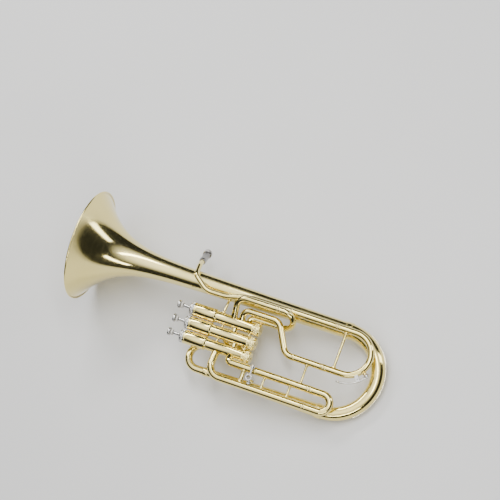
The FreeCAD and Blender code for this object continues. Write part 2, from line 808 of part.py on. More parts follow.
def slide(name, leg_a, leg_b, seam, bend_x, inside, width, drain=None):
    """A pull-out slide: two inner legs that run in the outer ones, and the crook that joins them."""
    bore = f"{width} - 2 * tube_wall"
    inner = f"{bore} - 2 * slide_play"
    legs = [slide_tube(f"{name}_leg_{place}", (seam - inside, *leg), (seam + 6, *leg), inner, "slide_wall")
            for place, leg in enumerate((leg_a, leg_b))]
    group(f"{name}_inner_legs", legs)
    spread = math.dist(leg_a, leg_b)
    turn_x = bend_x + spread / 2
    path = route([(seam + 0.4, *leg_a), (turn_x, *leg_a), (turn_x, *leg_b), (seam + 0.4, *leg_b)],
                 [spread / 2 - 0.001] * 2)
    outside = swept(f"{name}_crook_outside", path, [width])
    passage = swept(f"{name}_crook_inside", path, [bore])
    tools = [passage] + ([drain] if drain else [])
    return keep(f"{name}_crook", minus(f"{name}_crook", outside, tools)), outside


crook_centre = Vector(size("tuning_bend_x"), (upper_y + lower_y) / 2, tuning_z)
crook_reach = (upper_y - lower_y) / 2


def off_crook(degrees, distance):
    """A point beyond the tuning slide's bow, by the angle round from its lower leg."""
    angle = math.radians(degrees)
    return crook_centre + Vector(math.sin(angle), -math.cos(angle), 0) * (crook_reach + distance)


nipple_foot = off_crook(56, 0)
nipple_tip = off_crook(56, 10.6)
drain_hole = rod("drain_hole", tuple(nipple_foot), tuple(nipple_tip), "5")
tuning_crook, tuning_outside = slide(
    "tuning", (upper_y, tuning_z), (lower_y, tuning_z), seam_x, size("tuning_bend_x"),
    size("tuning_inside"), "slide_width", drain_hole)
_, first_outside = slide("first", first_front, first_rear, first_seam, size("first_bend_x"),
                         size("first_inside"), "port_width")
_, second_outside = slide("second", (second_ys[0], second_z), (second_ys[1], second_z), second_seam,
                          size("second_bend_x"), size("second_inside"), "port_width")
_, third_outside = slide("third", third_upper, third_lower, third_seam, size("third_bend_x"),
                         size("third_inside"), "third_width")

brace_x = size("tuning_brace_x")
keep("tuning_brace", post("tuning_brace", (brace_x, upper_y - 4, tuning_z), (brace_x, lower_y + 4, tuning_z),
                          "5.2", [tuning_outside]))

# Water key, in the plane of the tuning slide's bow.
nipple = rod("nipple_blank", tuple(nipple_foot), tuple(nipple_tip), "7")
keep("water_key_nipple", minus("water_key_nipple", nipple, [drain_hole, tuning_outside]))
cork_away = (nipple_tip - nipple_foot).normalize()
cork_outline = [(0.05, "0"), (2.5, "0"), (2.5, "4.2"), (0.05, "4.2")]
turned("water_key_cork", cork_outline, tuple(nipple_tip), tuple(cork_away))

pivot = off_crook(37, 12.0)
saddle_foot = off_crook(37, 3)
saddle_blanks = []
for side in (-1, 1):
    plate = doc.addObject("Part::Box", f"saddle_cheek_{side + 1}")
    plate.Length = 14.5
    plate.Width = 7
    plate.Height = 1.6
    local = Placement(saddle_foot + Vector(0, 0, side * 4.2 - 0.8), facing(tuple(pivot - saddle_foot)))
    plate.Placement = local.multiply(Placement(Vector(-1, -3.5, 0), Rotation()))
    saddle_blanks.append(plate)
saddle = doc.addObject("Part::Compound", "saddle_cheeks")
saddle.Links = saddle_blanks
pin_room = rod("pin_room", tuple(pivot - Z * 8), tuple(pivot + Z * 8), "2.56")
keep("water_key_saddle", minus("water_key_saddle", saddle, [tuning_outside, pin_room]))
keep("water_key_pin", rod("water_key_pin_blank", tuple(pivot - Z * 6.2), tuple(pivot + Z * 6.2), "2.4"))
spring_coil("water_key_spring", tuple(pivot + Z * 1.5), 1.5, 5.6, 0.5, 2.0, Z)

lever_points = [off_crook(57.3, 16.4), off_crook(37, 15.9), off_crook(15, 17.5), off_crook(-3, 17.0)]
lever_rod = swept("lever_rod", route(lever_points, [40, 60]), ["3.4"])
cup_outline = [(2.6, "0"), (6.2, "0"), (6.2, "3"), (4.4, "5"), (1.2, "5"), (1.2, "4.3"), (2.6, "4.3")]
cup = turned("lever_cup", cup_outline, tuple(nipple_tip), tuple(cork_away), keep_piece=False)
hub = rod("lever_hub", tuple(pivot - Z * 3.2), tuple(pivot + Z * 1.2), "5.2")
web = rod("lever_web", tuple(pivot), tuple(off_crook(37, 15.3)), "3")
lever_tip = off_crook(-3, 17.0)
touch = rod("lever_touch", tuple(lever_tip - Y * 1.4), tuple(lever_tip + Y * 1.4), "7.5")
lever = joined("lever", [hub, web, lever_rod, cup, touch])
keep("water_key_lever", minus("water_key_lever", lever, [pin_room]))


# ---------------------------------------------------------------- braces and fittings

def leg_solid(name, leg, from_x, to_x, width):
    return rod(name, (from_x, *leg), (to_x, *leg), width)


third_upper_solid = leg_solid("third_upper_solid", third_upper, 370, third_seam, "third_width")
third_lower_solid = leg_solid("third_lower_solid", third_lower, 352, third_seam, "third_width")
tuning_lower_solid = leg_solid("tuning_lower_solid", (lower_y, tuning_z), lower_from, seam_x, "slide_width")
tuning_upper_solid = leg_solid("tuning_upper_solid", (upper_y, tuning_z), size("tuning_upper_from_x"), seam_x,
                               "slide_width")
slide_post = post("slide_post", (501, lower_y - 4, tuning_z), (501, third_upper[0] + 4, third_z), "4.6",
                  [tuning_lower_solid, third_upper_solid])
third_posts = []
for height, width in ((389, "8.4"), (432, "4.6"), (484, "4.6")):
    third_posts.append(post(f"third_post_{height}", (height, third_upper[0] - 4, third_z),
                            (height, third_lower[0] + 4, third_z), width,
                            [third_upper_solid, third_lower_solid], 1.35))
group("third_slide_posts", third_posts)

branch_posts = [
    post(f"branch_post_{height}", (height, branch_y, 4), (height, third_lower[0], third_z - 3), "6",
         [branch_cone, third_lower_solid], 1.3)
    for height in (372, 504)
]

bell_posts = [
    post("bell_post_valve", (308, -12, 4), (308, valve_ys[0] + 6, valve_z), "5",
         [bell_solid, casing_cores[0]]),
    post("bell_post_tuning", (500, -2.4, 11), (500, upper_y, tuning_z), "6",
         [bell_solid, tuning_upper_solid], 1.3),
]
group("horn_braces", [slide_post, *branch_posts, *bell_posts])

lyre_centre = Vector(406, -150.5, 13)
barrel = rod("lyre_barrel", tuple(lyre_centre), tuple(lyre_centre + Z * 27), "13.6")
barrel_foot = rod("lyre_foot", (406, -150.5, third_z), (406, third_lower[0], third_z), "7")
holder = doc.addObject("Part::Fuse", "lyre_holder_whole")
holder.Base = barrel
holder.Tool = barrel_foot
socket = rod("lyre_socket", tuple(lyre_centre - Z), tuple(lyre_centre + Z * 28), "8.4")
screw_z = 35.5
screw_hole = rod("lyre_screw_hole", (406, -150.5, screw_z), (406, -140, screw_z), "3.3")
keep("lyre_holder", minus("lyre_holder", holder, [socket, screw_hole, third_lower_solid]))
screw_outline = [
    (0, "0"), (20, "0"), (20, "3.6"), (19, "4.6"), (14.6, "4.6"), (13.6, "3.6"), (13.6, "2.4"), (11, "2.4"),
    (11, "1.6"), (0, "1.6"),
]
turned("lyre_screw", screw_outline, (406, -145.8, screw_z), (0, 1, 0))


# ---------------------------------------------------------------- checks and files

doc.recompute()
faults = []
for name in ("tuning", "first", "second", "third"):
    if size(f"{name}_inside - {name}_travel") < 5:
        faults.append(f"{name} slide: its inner legs leave the outer ones before the end of their travel")
if size("stem_from_x + felt_height + valve_stroke") > size("casing_top_x"):
    faults.append("the finger buttons' felts meet the caps before the end of the stroke")
for item in doc.Objects:
    if "Invalid" in item.State or "Error" in item.State:
        faults.append(f"{item.Name}: {item.State}")
for label, piece in pieces.items():
    if piece.Shape.isNull() or not piece.Shape.isValid() or not piece.Shape.Solids:
        faults.append(f"{label}: no sound shape")
if faults:
    raise SystemExit("\n".join(faults))

os.makedirs("parts", exist_ok=True)
whole = FreeCAD.BoundBox()
for label, piece in pieces.items():
    piece.Shape.exportStep(f"parts/{label}.step")
    whole.add(piece.Shape.BoundBox)
print(len(pieces), "sub-parts")
low = (whole.XMin, whole.YMin, whole.ZMin)
high = (whole.XMax, whole.YMax, whole.ZMax)
print("box", [round(number, 2) for number in low + high])
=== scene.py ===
"""A three-valve euphonium of the narrow pattern, lying on its side: lacquered brass, silver-plated
fittings, felt and cork. Pieces are drawn in millimetres in the maker's frame, and LAY_DOWN with MM puts
them in the CAD's frame in metres. The maker's frame has x along the bell's axis from its mouth, y in the
plane of the horn with the valves at minus y, and z towards the player's front.
"""

import json
import math

import bmesh
import bpy
from mathutils import Matrix, Vector


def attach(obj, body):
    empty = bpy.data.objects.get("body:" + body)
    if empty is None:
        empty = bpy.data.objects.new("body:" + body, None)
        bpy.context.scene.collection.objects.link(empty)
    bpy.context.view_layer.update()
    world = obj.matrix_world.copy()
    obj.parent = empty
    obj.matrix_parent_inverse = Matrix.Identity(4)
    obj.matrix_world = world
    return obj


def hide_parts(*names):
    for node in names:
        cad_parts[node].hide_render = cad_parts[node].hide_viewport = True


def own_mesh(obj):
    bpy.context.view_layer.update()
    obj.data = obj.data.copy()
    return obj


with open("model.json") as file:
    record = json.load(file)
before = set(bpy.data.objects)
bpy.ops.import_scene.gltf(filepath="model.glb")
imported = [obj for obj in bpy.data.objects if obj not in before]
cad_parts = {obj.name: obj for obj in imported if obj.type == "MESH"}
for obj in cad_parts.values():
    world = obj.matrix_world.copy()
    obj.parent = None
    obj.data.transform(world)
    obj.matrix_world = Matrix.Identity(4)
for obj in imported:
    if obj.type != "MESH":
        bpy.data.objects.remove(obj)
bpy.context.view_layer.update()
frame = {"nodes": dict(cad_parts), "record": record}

MM = 0.001
REST_PITCH = math.radians(7.9)
REST_ROLL = math.radians(4.7)
REST_SHIFT = Vector((-312.18, 33.27, 109.37)) * MM
LAY_DOWN = (Matrix.Translation(REST_SHIFT) @ Matrix.Rotation(REST_PITCH, 4, "Y")
            @ Matrix.Rotation(REST_ROLL, 4, "X"))


# ---------------------------------------------------------------- materials

def new_group(name, inputs, outputs):
    """An empty shader node group with named sockets. inputs maps a name to (socket type, value)."""
    group = bpy.data.node_groups.new(name, "ShaderNodeTree")
    for label, (kind, value) in inputs.items():
        socket = group.interface.new_socket(label, in_out="INPUT", socket_type=kind)
        socket.default_value = value
    for label, kind in outputs.items():
        group.interface.new_socket(label, in_out="OUTPUT", socket_type=kind)
    return group, group.nodes.new("NodeGroupInput"), group.nodes.new("NodeGroupOutput")


def noise(nodes, links, vector, scale, detail=2.0, rough=0.5, distortion=0.0):
    """A noise texture read on object coordinates."""
    node = nodes.new("ShaderNodeTexNoise")
    node.inputs["Scale"].default_value = scale
    node.inputs["Detail"].default_value = detail
    node.inputs["Roughness"].default_value = rough
    node.inputs["Distortion"].default_value = distortion
    links.new(vector, node.inputs["Vector"])
    return node.outputs["Fac"]


def ramp(nodes, links, value, low, high, to_low=0.0, to_high=1.0):
    """A value stretched from low..high onto to_low..to_high and clamped."""
    node = nodes.new("ShaderNodeMapRange")
    node.inputs["From Min"].default_value = low
    node.inputs["From Max"].default_value = high
    node.inputs["To Min"].default_value = to_low
    node.inputs["To Max"].default_value = to_high
    links.new(value, node.inputs["Value"])
    return node.outputs["Result"]


def mix_colour(nodes, links, factor, first, second):
    """Two colours mixed by a mask. Each colour is plain or a socket."""
    node = nodes.new("ShaderNodeMix")
    node.data_type = "RGBA"
    links.new(factor, node.inputs["Factor"])
    for socket, colour in ((node.inputs["A"], first), (node.inputs["B"], second)):
        if hasattr(colour, "is_linked"):
            links.new(colour, socket)
        else:
            socket.default_value = (*colour, 1.0)
    return node.outputs["Result"]


def math_node(nodes, links, operation, first, second):
    """A sum, product or power of two values. Each value is a number or a socket."""
    node = nodes.new("ShaderNodeMath")
    node.operation = operation
    for socket, value in zip(node.inputs, (first, second)):
        if isinstance(value, (int, float)):
            socket.default_value = value
        else:
            links.new(value, socket)
    return node.outputs["Value"]


def handled_metal_group():
    """Finger smudges, faint wipe marks and settled dust, as masks for any polished metal."""
    group, source, result = new_group(
        "handled_metal",
        {"Smudge size": ("NodeSocketFloat", 18.0), "Wipe size": ("NodeSocketFloat", 220.0),
         "Dust amount": ("NodeSocketFloat", 0.25)},
        {"Smudge": "NodeSocketFloat", "Wipe": "NodeSocketFloat", "Dust": "NodeSocketFloat"})
    nodes, links = group.nodes, group.links
    place = nodes.new("ShaderNodeTexCoord").outputs["Object"]
    smudge = noise(nodes, links, place, 18.0, 4.0, 0.6, 0.4)
    links.new(source.outputs["Smudge size"], smudge.node.inputs["Scale"])
    links.new(ramp(nodes, links, smudge, 0.48, 0.68), result.inputs["Smudge"])
    stretch = nodes.new("ShaderNodeMapping")
    stretch.inputs["Scale"].default_value = (0.12, 1.0, 1.0)
    stretch.inputs["Rotation"].default_value = (0.0, -REST_PITCH, 0.0)
    links.new(place, stretch.inputs["Vector"])
    wipe = noise(nodes, links, stretch.outputs["Vector"], 220.0, 3.0, 0.65)
    links.new(source.outputs["Wipe size"], wipe.node.inputs["Scale"])
    links.new(ramp(nodes, links, wipe, 0.35, 0.7), result.inputs["Wipe"])
    up = nodes.new("ShaderNodeSeparateXYZ")
    links.new(nodes.new("ShaderNodeNewGeometry").outputs["Normal"], up.inputs["Vector"])
    facing_up = ramp(nodes, links, up.outputs["Z"], 0.2, 0.95)
    specks = ramp(nodes, links, noise(nodes, links, place, 900.0, 2.0, 0.7), 0.56, 0.72)
    dusty = math_node(nodes, links, "MULTIPLY", facing_up, specks)
    links.new(math_node(nodes, links, "MULTIPLY", dusty, source.outputs["Dust amount"]),
              result.inputs["Dust"])
    return group


def edge_wear_group():
    """A mask that is high on edges and rims, broken up so that the wear is uneven."""
    group, source, result = new_group(
        "edge_wear", {"Width": ("NodeSocketFloat", 0.0006), "Break up": ("NodeSocketFloat", 60.0)},
        {"Mask": "NodeSocketFloat"})
    nodes, links = group.nodes, group.links
    bevel = nodes.new("ShaderNodeBevel")
    bevel.samples = 4
    links.new(source.outputs["Width"], bevel.inputs["Radius"])
    turned_away = nodes.new("ShaderNodeVectorMath")
    turned_away.operation = "DOT_PRODUCT"
    links.new(bevel.outputs["Normal"], turned_away.inputs[0])
    links.new(nodes.new("ShaderNodeNewGeometry").outputs["Normal"], turned_away.inputs[1])
    edge = ramp(nodes, links, turned_away.outputs["Value"], 0.995, 0.93)
    place = nodes.new("ShaderNodeTexCoord").outputs["Object"]
    uneven = noise(nodes, links, place, 60.0, 3.0, 0.6)
    links.new(source.outputs["Break up"], uneven.node.inputs["Scale"])
    links.new(math_node(nodes, links, "MULTIPLY", edge, ramp(nodes, links, uneven, 0.35, 0.6)),
              result.inputs["Mask"])
    return group


HANDLED = handled_metal_group()
EDGE_WEAR = edge_wear_group()
WEAR_WIDTH = 0.0006
DUST_COLOUR = (0.72, 0.70, 0.66)
SMUDGE_ROUGHNESS = 0.09
WIPE_ROUGHNESS = 0.05


def new_material(name):
    """A material with only a Principled BSDF and its output."""
    material = bpy.data.materials.new(name)
    material.use_nodes = True
    nodes = material.node_tree.nodes
    return material, nodes, material.node_tree.links, nodes["Principled BSDF"]


def polished_metal(name, colour, deep, worn, roughness, coat, smudge_size=18.0, dust=0.25, tint_size=9.0,
                   bump=0.02):
    """Polished, plated or lacquered metal that has been handled."""
    material, nodes, links, shader = new_material(name)
    place = nodes.new("ShaderNodeTexCoord").outputs["Object"]
    handled = nodes.new("ShaderNodeGroup")
    handled.node_tree = HANDLED
    handled.inputs["Smudge size"].default_value = smudge_size
    handled.inputs["Dust amount"].default_value = dust
    wear = nodes.new("ShaderNodeGroup")
    wear.node_tree = EDGE_WEAR
    wear.inputs["Width"].default_value = WEAR_WIDTH
    tint = ramp(nodes, links, noise(nodes, links, place, tint_size, 3.0, 0.55, 0.3), 0.3, 0.7)
    base = mix_colour(nodes, links, tint, colour, deep)
    base = mix_colour(nodes, links, wear.outputs["Mask"], base, worn)
    base = mix_colour(nodes, links, handled.outputs["Dust"], base, DUST_COLOUR)
    links.new(base, shader.inputs["Base Color"])
    shader.inputs["Metallic"].default_value = 1.0
    smudged = math_node(nodes, links, "MULTIPLY", handled.outputs["Smudge"], SMUDGE_ROUGHNESS)
    wiped = math_node(nodes, links, "MULTIPLY", handled.outputs["Wipe"], WIPE_ROUGHNESS)
    rough = math_node(nodes, links, "ADD", smudged, wiped)
    rough = math_node(nodes, links, "ADD", rough, handled.outputs["Dust"])
    links.new(math_node(nodes, links, "ADD", rough, roughness), shader.inputs["Roughness"])
    shader.inputs["Coat Weight"].default_value = coat
    shader.inputs["Coat Roughness"].default_value = 0.05
    shader.inputs["Coat IOR"].default_value = 1.5
    ripple = nodes.new("ShaderNodeBump")
    ripple.inputs["Strength"].default_value = bump
    ripple.inputs["Distance"].default_value = 0.001
    swirl = math_node(nodes, links, "ADD", noise(nodes, links, place, 35.0, 2.0, 0.5),
                      math_node(nodes, links, "MULTIPLY", handled.outputs["Wipe"], 0.15))
    links.new(swirl, ripple.inputs["Height"])
    links.new(ripple.outputs["Normal"], shader.inputs["Normal"])
    return material


def soft_fibre(name, colour, deep, grain, roughness):
    """Pressed felt or cork: a matt, mottled, slightly rough body."""
    material, nodes, links, shader = new_material(name)
    place = nodes.new("ShaderNodeTexCoord").outputs["Object"]
    fleck = noise(nodes, links, place, grain, 5.0, 0.7)
    links.new(mix_colour(nodes, links, ramp(nodes, links, fleck, 0.35, 0.65), colour, deep),
              shader.inputs["Base Color"])
    links.new(ramp(nodes, links, fleck, 0.3, 0.7, roughness - 0.1, roughness),
              shader.inputs["Roughness"])
    fuzz = nodes.new("ShaderNodeBump")
    fuzz.inputs["Strength"].default_value = 0.6
    fuzz.inputs["Distance"].default_value = 0.0004
    links.new(fleck, fuzz.inputs["Height"])
    links.new(fuzz.outputs["Normal"], shader.inputs["Normal"])
    return material


LACQUERED_BRASS = polished_metal("lacquered_brass", (0.93, 0.79, 0.31), (0.86, 0.71, 0.23),
                                 (0.95, 0.86, 0.46), 0.07, 0.5)
BELL_BRASS = polished_metal("bell_brass", (0.91, 0.78, 0.32), (0.84, 0.70, 0.24),
                            (0.94, 0.85, 0.46), 0.09, 0.5, 12.0, 0.3, 6.0, 0.03)
TURNED_BRASS = polished_metal("turned_brass", (0.80, 0.64, 0.34), (0.70, 0.53, 0.26),
                              (0.86, 0.72, 0.42), 0.22, 0.0)
SILVER_PLATE = polished_metal("silver_plate", (0.64, 0.64, 0.63), (0.52, 0.51, 0.49),
                              (0.80, 0.78, 0.74), 0.07, 0.0, 30.0, 0.15, 60.0)
# Nickel whose base colours are darkened as painted shade, for the receiver and its ring, which lie in shade;
# the paler colour on its edges comes from the edge-wear mask.
NICKEL_PAINTED_SHADE = polished_metal("nickel_painted_shade", (0.34, 0.33, 0.32), (0.24, 0.23, 0.22),
                             (0.70, 0.68, 0.62), 0.14, 0.0, 40.0, 0.2, 80.0)
LAPPED_NICKEL = polished_metal("lapped_nickel", (0.74, 0.73, 0.70), (0.64, 0.62, 0.58),
                               (0.82, 0.80, 0.74), 0.24, 0.0, 25.0, 0.05, 40.0)
GUARD_NICKEL = polished_metal("guard_nickel", (0.88, 0.84, 0.70), (0.80, 0.74, 0.56),
                              (0.92, 0.88, 0.76), 0.12, 0.2)
SPRING_STEEL = polished_metal("spring_steel", (0.56, 0.56, 0.58), (0.44, 0.43, 0.42),
                              (0.66, 0.66, 0.66), 0.3, 0.0)
FELT = soft_fibre("white_felt", (0.84, 0.82, 0.76), (0.66, 0.63, 0.56), 900.0, 0.98)
CORK = soft_fibre("cork", (0.66, 0.48, 0.30), (0.40, 0.26, 0.15), 420.0, 0.9)

FINISHES = {
    "lacquered_brass": LACQUERED_BRASS,
    "brass_plain": TURNED_BRASS,
    "silver_plate": SILVER_PLATE,
    "nickel_plate": LAPPED_NICKEL,
    "spring_steel": SPRING_STEEL,
    "iron_wire": SPRING_STEEL,
    "felt": FELT,
    "cork": CORK,
}


def finish_frame():
    """Give every CAD node the finish that its slot names."""
    slots = {row["node"]: row["material_slot"] for row in frame["record"]["subparts"]}
    for name, node in frame["nodes"].items():
        material = FINISHES[slots[name]]
        # The receiver and its ring get nickel darkened with painted shade instead of their slot's finish.
        if name in ("receiver", "receiver_ring"):
            material = NICKEL_PAINTED_SHADE
        if name == "bell":
            material = BELL_BRASS
        node.data.materials.clear()
        node.data.materials.append(material)


finish_frame()


# ---------------------------------------------------------------- ways of making metal pieces

SEAM_GAP = 0.0005
ON_AXIS = 1e-6
SHORTEST_RUN = 1e-4
TUBE_WALL = 0.6
BELL_WALL = 0.8
NEAR_FULL = 0.001
ALONG = (1, 0, 0)


def laid(mesh_work):
    """Lay a piece made in the maker's frame down with the horn, in metres."""
    bmesh.ops.transform(mesh_work, matrix=LAY_DOWN @ Matrix.Scale(MM, 4), verts=mesh_work.verts)


def solder(work, part):
    """Add a finished part to a piece."""
    carrier = bpy.data.meshes.new("carrier")
    part.to_mesh(carrier)
    part.free()
    work.from_mesh(carrier)
    bpy.data.meshes.remove(carrier)


def settle(work):
    """Close seams and poles, and turn every face outwards."""
    bmesh.ops.remove_doubles(work, verts=work.verts, dist=SEAM_GAP)
    bmesh.ops.recalc_face_normals(work, faces=work.faces)


def soften(work, width, limit=28.0, segments=2):
    """Break every edge sharper than the limit."""
    sharp = [edge for edge in work.edges
             if len(edge.link_faces) == 2 and edge.calc_face_angle() > math.radians(limit)]
    bmesh.ops.bevel(work, geom=sharp, offset=width, offset_type="OFFSET", segments=segments,
                    profile=0.5, affect="EDGES", clamp_overlap=True, material=-1)


def turn(outline, at=(0, 0, 0), along=ALONG, steps=72, edge=0.2):
    """Turn an outline of (distance along, radius) about its own axis, then set it in place."""
    work = bmesh.new()
    corners = [work.verts.new((x, radius, 0.0)) for x, radius in outline]
    edges = [work.edges.new((first, second))
             for first, second in zip(corners, corners[1:] + corners[:1])
             if first.co.y > ON_AXIS or second.co.y > ON_AXIS]
    bmesh.ops.spin(work, geom=corners + edges, cent=(0, 0, 0), axis=ALONG, angle=2 * math.pi,
                   steps=steps, use_merge=True)
    settle(work)
    if edge:
        soften(work, edge)
    put(work, at, along)
    return work


def put(work, at, along):
    """Move a part from its own axis to its place."""
    face = Vector(along).to_track_quat("X", "Z").to_matrix().to_4x4()
    bmesh.ops.transform(work, matrix=Matrix.Translation(Vector(at)) @ face, verts=work.verts)


def moves_of(points, radii):
    """The runs and bends of a tube: (kind, length, data) for each, one bend for each inner point."""
    points = [Vector(point) for point in points]
    moves = []
    start = points[0]
    for index, radius in enumerate(radii, start=1):
        come = (points[index] - points[index - 1]).normalized()
        leave = (points[index + 1] - points[index]).normalized()
        angle = come.angle(leave)
        setback = radius * math.tan(angle / 2)
        arc_start = points[index] - come * setback
        if (arc_start - start).length > SHORTEST_RUN:
            moves.append(("run", (arc_start - start).length, arc_start - start))
        inward = (leave - come * leave.dot(come)).normalized()
        centre = arc_start + inward * radius
        moves.append(("bend", radius * angle, (centre, come.cross(leave).normalized(), angle)))
        start = points[index] + leave * setback
    if (points[-1] - start).length > SHORTEST_RUN:
        moves.append(("run", (points[-1] - start).length, points[-1] - start))
    return moves


def rim_of(verts):
    """The edges round a tube's open end, in the same order each run."""
    chosen = set(verts)
    return list(dict.fromkeys(edge for vert in verts for edge in vert.link_edges
                              if edge.other_vert(vert) in chosen))


def draw_tube(points, radii, widths, wall=TUBE_WALL, sides=48, bend_step=4.0):
    """Draw a tube along runs and bends, given as corner points and a bend radius at each inner one.
    Its width goes evenly from widths[0] to widths[1]. A wall of 0 leaves one skin.
    """
    moves = moves_of(points, radii)
    total = sum(length for _, length, _ in moves)
    work = bmesh.new()
    first_way = (Vector(points[1]) - Vector(points[0])).to_track_quat("Z", "Y").to_matrix().to_4x4()
    rim = bmesh.ops.create_circle(work, cap_ends=False, segments=sides, radius=widths[0] / 2,
                                  matrix=Matrix.Translation(Vector(points[0])) @ first_way)["verts"]
    gone = 0.0
    width = widths[0]
    for kind, length, data in moves:
        count = 1 if kind == "run" else max(2, round(math.degrees(data[2]) / bend_step))
        for _ in range(count):
            if kind == "run":
                made = bmesh.ops.extrude_edge_only(work, edges=rim_of(rim))["geom"]
                rim = [item for item in made if isinstance(item, bmesh.types.BMVert)]
                bmesh.ops.translate(work, vec=data, verts=rim)
            else:
                centre, axis, angle = data
                made = bmesh.ops.spin(work, geom=rim + rim_of(rim), cent=centre, axis=axis,
                                      angle=angle / count, steps=1)["geom_last"]
                rim = [item for item in made if isinstance(item, bmesh.types.BMVert)]
            gone += length / count
            wanted = widths[0] + (widths[-1] - widths[0]) * gone / total
            middle = sum((vert.co for vert in rim), Vector()) / len(rim)
            bmesh.ops.scale(work, vec=(wanted / width,) * 3, space=Matrix.Translation(-middle),
                            verts=rim)
            width = wanted
    settle(work)
    if wall:
        bmesh.ops.solidify(work, geom=work.faces[:], thickness=wall)
    return work


def close_ends(work):
    """Fill the open ends of a rod or a coil."""
    bmesh.ops.holes_fill(work, edges=[edge for edge in work.edges if edge.is_boundary], sides=0)
    settle(work)


def make(name, parts, body, finish, replaced, sharp=35.0):
    """Finish a piece: its parts as one mesh, laid down, smooth, with its finish, on its body."""
    work = bmesh.new()
    for part in parts:
        solder(work, part)
    laid(work)
    mesh = bpy.data.meshes.new(name)
    work.to_mesh(mesh)
    work.free()
    mesh.shade_smooth()
    mesh.set_sharp_from_angle(angle=math.radians(sharp))
    mesh.materials.append(finish)
    piece = bpy.data.objects.new(name, mesh)
    bpy.context.scene.collection.objects.link(piece)
    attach(piece, body)
    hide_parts(*replaced)
    return piece


def make_brass(name, parts, replaced, body="horn"):
    """A lacquered brass piece in place of one CAD node."""
    return make(name, parts, body, LACQUERED_BRASS, [replaced])


def make_silver(name, parts, replaced, body="horn", sharp=35.0):
    """A silver-plated piece in place of one CAD node."""
    return make(name, parts, body, SILVER_PLATE, [replaced], sharp)


# ---------------------------------------------------------------- bell and bottom bow

BELL_LENGTH = 551.0
BEAD_RADIUS = 2.2
BOW_X = BELL_LENGTH
BOW_R = 81.5
BOW_WIDE = 31.0
BOW_NARROW = 26.5
BRANCH_X = 313.0
BRANCH_Y = -163.0
BRANCH_NARROW = 16.0
COLLAR_X = 542.0


def bell_radius(along):
    """The bell's outer radius: a gentle cone and a flare that dies away from the mouth."""
    return 21.4 - 0.0107 * along + 1 / (math.exp(along / 45.0) / 123.7 + 1 / 291.0)


def build_bell():
    """The spun bell: a thin shell that ends in a rolled rim."""
    stations = [BELL_LENGTH * (step / 96) ** 1.9 for step in range(97)]
    outside = [(along, bell_radius(along)) for along in stations]
    inside = []
    for along in stations:
        slope = bell_radius(along + 0.5) - bell_radius(max(along - 0.5, 0.0))
        inside.append((along, bell_radius(along) - BELL_WALL * math.hypot(1.0, slope)))
    rim = bell_radius(0.0)
    bead = []
    for step in range(1, 16):
        angle = math.radians(-62 - step * 18.5)
        bead.append((BEAD_RADIUS * math.cos(angle), rim + BEAD_RADIUS * math.sin(angle)))
    outline = outside[3:] + list(reversed(inside[3:])) + bead
    shell = turn(outline, steps=144, edge=0.0)
    make("bell_skin", [shell], "horn", BELL_BRASS, ["bell"])


def build_bottom_bow():
    """The bow, the taper of the lower branch and their collars."""
    bow = draw_tube([(BOW_X, 0, 0), (BOW_X + BOW_R, 0, 0), (BOW_X + BOW_R, BRANCH_Y, 0),
                     (BOW_X, BRANCH_Y, 0)],
                    [BOW_R - NEAR_FULL] * 2, (BOW_WIDE, BOW_NARROW), BELL_WALL, 64, 3.0)
    make_brass("bow_tube", [bow], "bottom_bow")
    branch = draw_tube([(BRANCH_X, BRANCH_Y, 0), (BOW_X, BRANCH_Y, 0)], [],
                       (BRANCH_NARROW, BOW_NARROW), BELL_WALL, 56)
    make_brass("branch_taper", [branch], "lower_branch")
    collars = []
    for width, y in ((BOW_WIDE, 0.0), (BOW_NARROW, BRANCH_Y)):
        bore = width / 2 + 0.25
        outline = [(0, bore), (13, bore), (13, bore + 0.4), (12.2, bore + 1.15), (10.9, bore + 1.15),
                   (10.6, bore + 0.75), (10.1, bore + 0.75), (9.8, bore + 1.0), (3.2, bore + 1.0),
                   (2.9, bore + 0.75), (2.4, bore + 0.75), (2.1, bore + 1.15), (0.8, bore + 1.15),
                   (0, bore + 0.4)]
        collars.append(turn(outline, (COLLAR_X, y, 0), ALONG, 80, 0.12))
    make_brass("bow_collars", collars, "bow_ferrules")


def bow_crest(degrees, proud=0.0):
    """A point on the bow's outer crest, by the angle gone round from the bell's end."""
    share = degrees / 180
    reach = BOW_R + (BOW_WIDE * (1 - share) + BOW_NARROW * share) / 2 + proud
    angle = math.radians(90 - degrees)
    return Vector((BOW_X + reach * math.cos(angle), -BOW_R + reach * math.sin(angle), 0))


def build_guard():
    """A guard wire soldered along the bow's outer crest, cut off square at its ends."""
    work = bmesh.new()
    start, stop, count, thickness = 27.0, 140.0, 64, 3.2
    rim = bmesh.ops.create_circle(work, cap_ends=True, segments=20, radius=thickness / 2,
                                  matrix=Matrix.Translation(bow_crest(start)))["verts"]
    heading = (bow_crest(start + 1) - bow_crest(start)).to_track_quat("Z", "Y").to_matrix().to_4x4()
    at = Matrix.Translation(bow_crest(start))
    bmesh.ops.transform(work, matrix=at @ heading @ at.inverted(), verts=rim)
    for step in range(count):
        before = start + (stop - start) * step / count
        after = start + (stop - start) * (step + 1) / count
        made = bmesh.ops.extrude_edge_only(work, edges=rim_of(rim))["geom"]
        rim = [item for item in made if isinstance(item, bmesh.types.BMVert)]
        here = bow_crest(before)
        bmesh.ops.transform(work, matrix=(Matrix.Translation(bow_crest(after))
                                          @ Matrix.Rotation(math.radians(before - after), 4, "Z")
                                          @ Matrix.Translation(-here)), verts=rim)
    bmesh.ops.contextual_create(work, geom=rim_of(rim))
    settle(work)
    make("guard_strip", [work], "horn", GUARD_NICKEL, ["bow_guard"])


# ---------------------------------------------------------------- valve block

